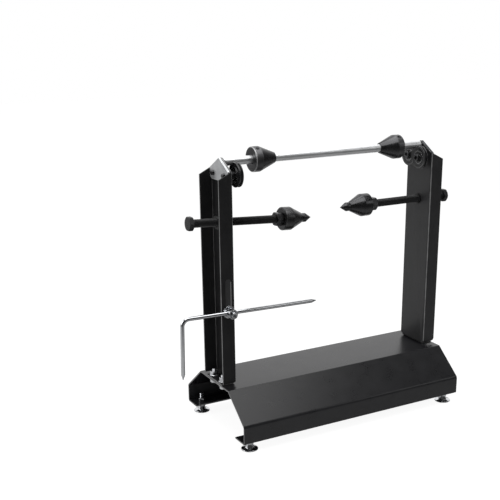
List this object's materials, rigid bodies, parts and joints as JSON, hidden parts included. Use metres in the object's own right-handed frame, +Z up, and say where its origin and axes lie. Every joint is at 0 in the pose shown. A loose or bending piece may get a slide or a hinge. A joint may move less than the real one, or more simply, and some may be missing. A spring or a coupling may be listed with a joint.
{
  "type": "motorcycle wheel balancer",
  "caption": "Bench stand with a folded base, two uprights with rollers, a balance shaft with sliding cones, two screwed arms and a swivelling rim pointer.",
  "frame": {"origin": "on the bench, at the centre of the underside of the part's whole box, which is 21 mm left of the stand's own middle plane", "axes": "+Z up, from the bench to the shaft; +X along the balance shaft, away from the upright that carries the pointer; +Y to the rear"},
  "size_m": [0.5693, 0.2222, 0.4924],
  "materials": {
    "stand_paint": "satin black powder coat",
    "zinc": "bright zinc plate",
    "chrome": "polished chrome plate",
    "black_oxide": "oiled black oxide on turned steel",
    "roller_black": "moulded black nylon",
    "bearing_steel": "ground bearing steel"
  },
  "bodies": {
    "stand": {"base": "stand_paint", "left_upright": "stand_paint", "right_upright": "stand_paint", "left_roller_plate": "zinc", "right_roller_plate": "zinc", "left_front_upright_bolt": "chrome", "left_front_upright_nut": "chrome", "left_front_bearing_inner_ring": "bearing_steel", "left_front_axle_spacer": "black_oxide", "left_front_axle_screw": "black_oxide", "left_front_foot_nut": "chrome", "left_rear_upright_bolt": "chrome", "left_rear_upright_nut": "chrome", "left_rear_bearing_inner_ring": "bearing_steel", "left_rear_axle_spacer": "black_oxide", "left_rear_axle_screw": "black_oxide", "left_rear_foot_nut": "chrome", "right_front_upright_bolt": "chrome", "right_front_upright_nut": "chrome", "right_front_bearing_inner_ring": "bearing_steel", "right_front_axle_spacer": "black_oxide", "right_front_axle_screw": "black_oxide", "right_front_foot_nut": "chrome", "right_rear_upright_bolt": "chrome", "right_rear_upright_nut": "chrome", "right_rear_bearing_inner_ring": "bearing_steel", "right_rear_axle_spacer": "black_oxide", "right_rear_axle_screw": "black_oxide", "right_rear_foot_nut": "chrome", "left_arm_web_nut": "black_oxide", "right_arm_web_nut": "black_oxide"},
    "shaft": {"balance_shaft": "chrome"},
    "left_shaft_cone": {"left_shaft_cone": "black_oxide", "left_cone_grub_screw": "black_oxide"},
    "right_shaft_cone": {"right_shaft_cone": "black_oxide", "right_cone_grub_screw": "black_oxide"},
    "left_front_roller": {"left_front_roller": "roller_black", "left_front_roller_bearing": "bearing_steel"},
    "left_rear_roller": {"left_rear_roller": "roller_black", "left_rear_roller_bearing": "bearing_steel"},
    "right_front_roller": {"right_front_roller": "roller_black", "right_front_roller_bearing": "bearing_steel"},
    "right_rear_roller": {"right_rear_roller": "roller_black", "right_rear_roller_bearing": "bearing_steel"},
    "left_arm": {"left_arm_screw": "black_oxide", "left_arm_lock_nut": "black_oxide", "left_arm_tip": "black_oxide"},
    "left_arm_cone": {"left_arm_cone": "black_oxide"},
    "right_arm": {"right_arm_screw": "black_oxide", "right_arm_lock_nut": "black_oxide", "right_arm_tip": "black_oxide"},
    "right_arm_cone": {"right_arm_cone": "black_oxide"},
    "pointer_carriage": {"pointer_clamp_washer": "chrome"},
    "pointer_clamp": {"pointer_clamp_bolt": "chrome", "pointer_clamp_nut": "chrome"},
    "pointer": {"pointer_rod": "chrome"},
    "left_front_foot": {"left_front_foot": "chrome"},
    "left_rear_foot": {"left_rear_foot": "chrome"},
    "right_front_foot": {"right_front_foot": "chrome"},
    "right_rear_foot": {"right_rear_foot": "chrome"}
  },
  "joints": [
    {"name": "shaft_spin", "type": "hinge", "parent": "stand", "child": "shaft", "pos_m": [0, 0, 0.4714], "axis": [1, 0, 0], "continuous": true},
    {"name": "left_cone_slide", "type": "slide", "parent": "shaft", "child": "left_shaft_cone", "axis": [1, 0, 0], "range_m": [-0.029, 0.1]},
    {"name": "right_cone_slide", "type": "slide", "parent": "shaft", "child": "right_shaft_cone", "axis": [-1, 0, 0], "range_m": [-0.024, 0.1]},
    {"name": "left_front_roller_spin", "type": "hinge", "parent": "stand", "child": "left_front_roller", "pos_m": [-0.1645, -0.0195, 0.45201], "axis": [1, 0, 0], "continuous": true},
    {"name": "left_rear_roller_spin", "type": "hinge", "parent": "stand", "child": "left_rear_roller", "pos_m": [-0.1724, 0.0195, 0.45201], "axis": [1, 0, 0], "continuous": true},
    {"name": "right_front_roller_spin", "type": "hinge", "parent": "stand", "child": "right_front_roller", "pos_m": [0.2069, -0.0195, 0.45201], "axis": [1, 0, 0], "continuous": true},
    {"name": "right_rear_roller_spin", "type": "hinge", "parent": "stand", "child": "right_rear_roller", "pos_m": [0.2148, 0.0195, 0.45201], "axis": [1, 0, 0], "continuous": true},
    {"name": "left_arm_feed", "type": "slide", "parent": "stand", "child": "left_arm", "axis": [0.9982, 0, -0.0597], "range_m": [-0.09, 0.028]},
    {"name": "left_arm_cone_spin", "type": "hinge", "parent": "left_arm", "child": "left_arm_cone", "pos_m": [-0.185, 0, 0.3729], "axis": [0.9982, 0, -0.0597], "continuous": true},
    {"name": "right_arm_feed", "type": "slide", "parent": "stand", "child": "right_arm", "axis": [-1, 0, 0], "range_m": [-0.09, 0.028]},
    {"name": "right_arm_cone_spin", "type": "hinge", "parent": "right_arm", "child": "right_arm_cone", "pos_m": [0.2274, 0, 0.3729], "axis": [-1, 0, 0], "continuous": true},
    {"name": "pointer_height", "type": "slide", "parent": "stand", "child": "pointer_carriage", "axis": [0, 0, 1], "range_m": [0, 0.05]},
    {"name": "pointer_swivel", "type": "hinge", "parent": "pointer_carriage", "child": "pointer_clamp", "pos_m": [-0.1918, -0.0426, 0.2285], "axis": [0, 1, 0], "range_deg": [-25, 30]},
    {"name": "pointer_reach", "type": "slide", "parent": "pointer_clamp", "child": "pointer", "axis": [0.9997, 0, -0.0227], "range_m": [-0.06, 0.04]},
    {"name": "left_front_foot_height", "type": "slide", "parent": "stand", "child": "left_front_foot", "axis": [0, 0, 1], "range_m": [-0.01, 0]},
    {"name": "left_rear_foot_height", "type": "slide", "parent": "stand", "child": "left_rear_foot", "axis": [0, 0, 1], "range_m": [-0.01, 0]},
    {"name": "right_front_foot_height", "type": "slide", "parent": "stand", "child": "right_front_foot", "axis": [0, 0, 1], "range_m": [-0.01, 0]},
    {"name": "right_rear_foot_height", "type": "slide", "parent": "stand", "child": "right_rear_foot", "axis": [0, 0, 1], "range_m": [-0.01, 0]}
  ],
  "couplings": [
    {"joint": "left_front_roller_spin", "follows": "shaft_spin", "ratio": -0.34653},
    {"joint": "left_rear_roller_spin", "follows": "shaft_spin", "ratio": -0.34653},
    {"joint": "right_front_roller_spin", "follows": "shaft_spin", "ratio": -0.34653},
    {"joint": "right_rear_roller_spin", "follows": "shaft_spin", "ratio": -0.34653}
  ]
}
